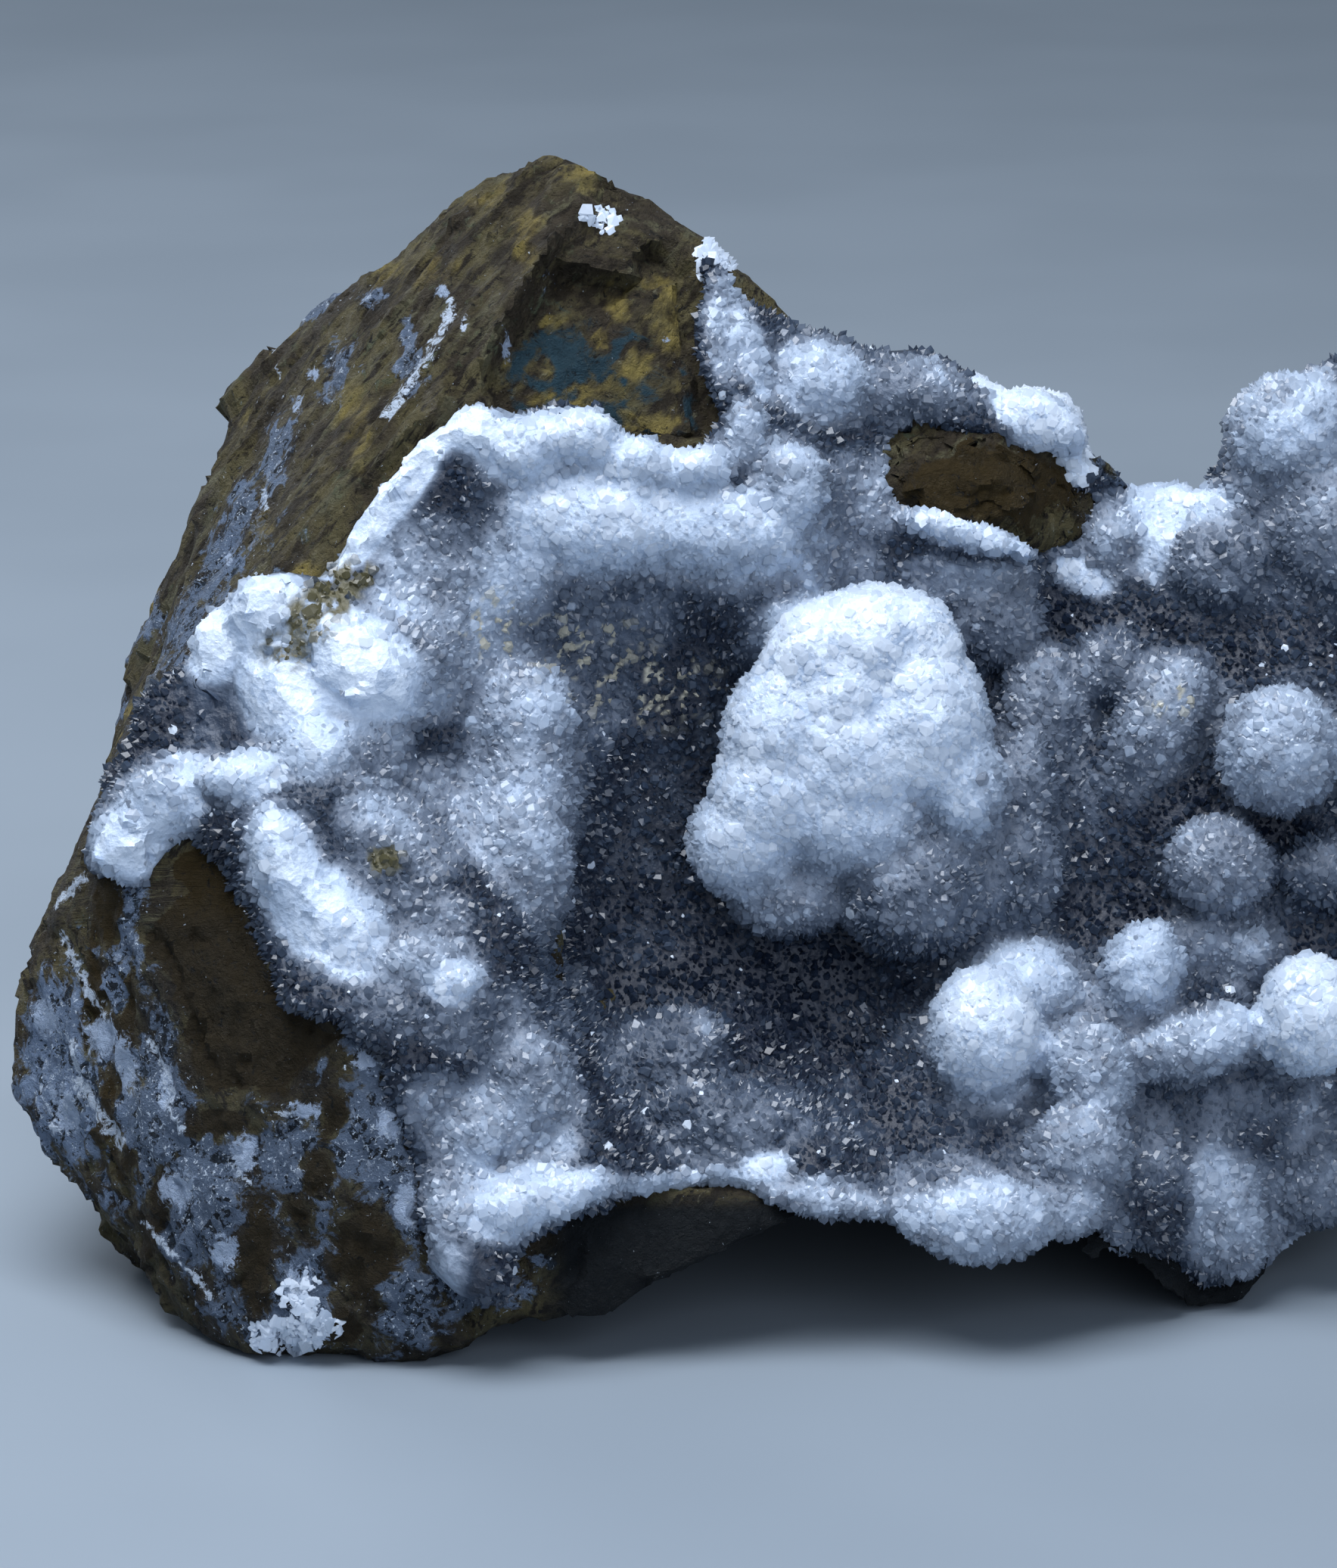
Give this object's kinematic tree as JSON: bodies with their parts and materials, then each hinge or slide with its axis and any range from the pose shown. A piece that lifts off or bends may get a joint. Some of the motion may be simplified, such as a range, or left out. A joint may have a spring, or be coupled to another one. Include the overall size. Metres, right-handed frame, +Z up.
{
  "type": "druzy quartz specimen",
  "caption": "Hand-sized block of brown weathered host rock whose concave face is lined with a druse of tiny quartz points swollen into pale knobs.",
  "frame": {"origin": "on the table, under the middle of the specimen's bounding box", "axes": "+Z up from the table; the druse faces -Y and leans back about 15 degrees; +X runs to the right seen from the front, along the longest extent"},
  "size_m": [0.1304, 0.0791, 0.0913],
  "materials": {
    "matrix_rock": "rough, weathered",
    "druzy_quartz": "sparkling milky crystal"
  },
  "bodies": {
    "root": {"matrix_rock": "matrix_rock", "druzy_quartz": "druzy_quartz"}
  },
  "joints": []
}
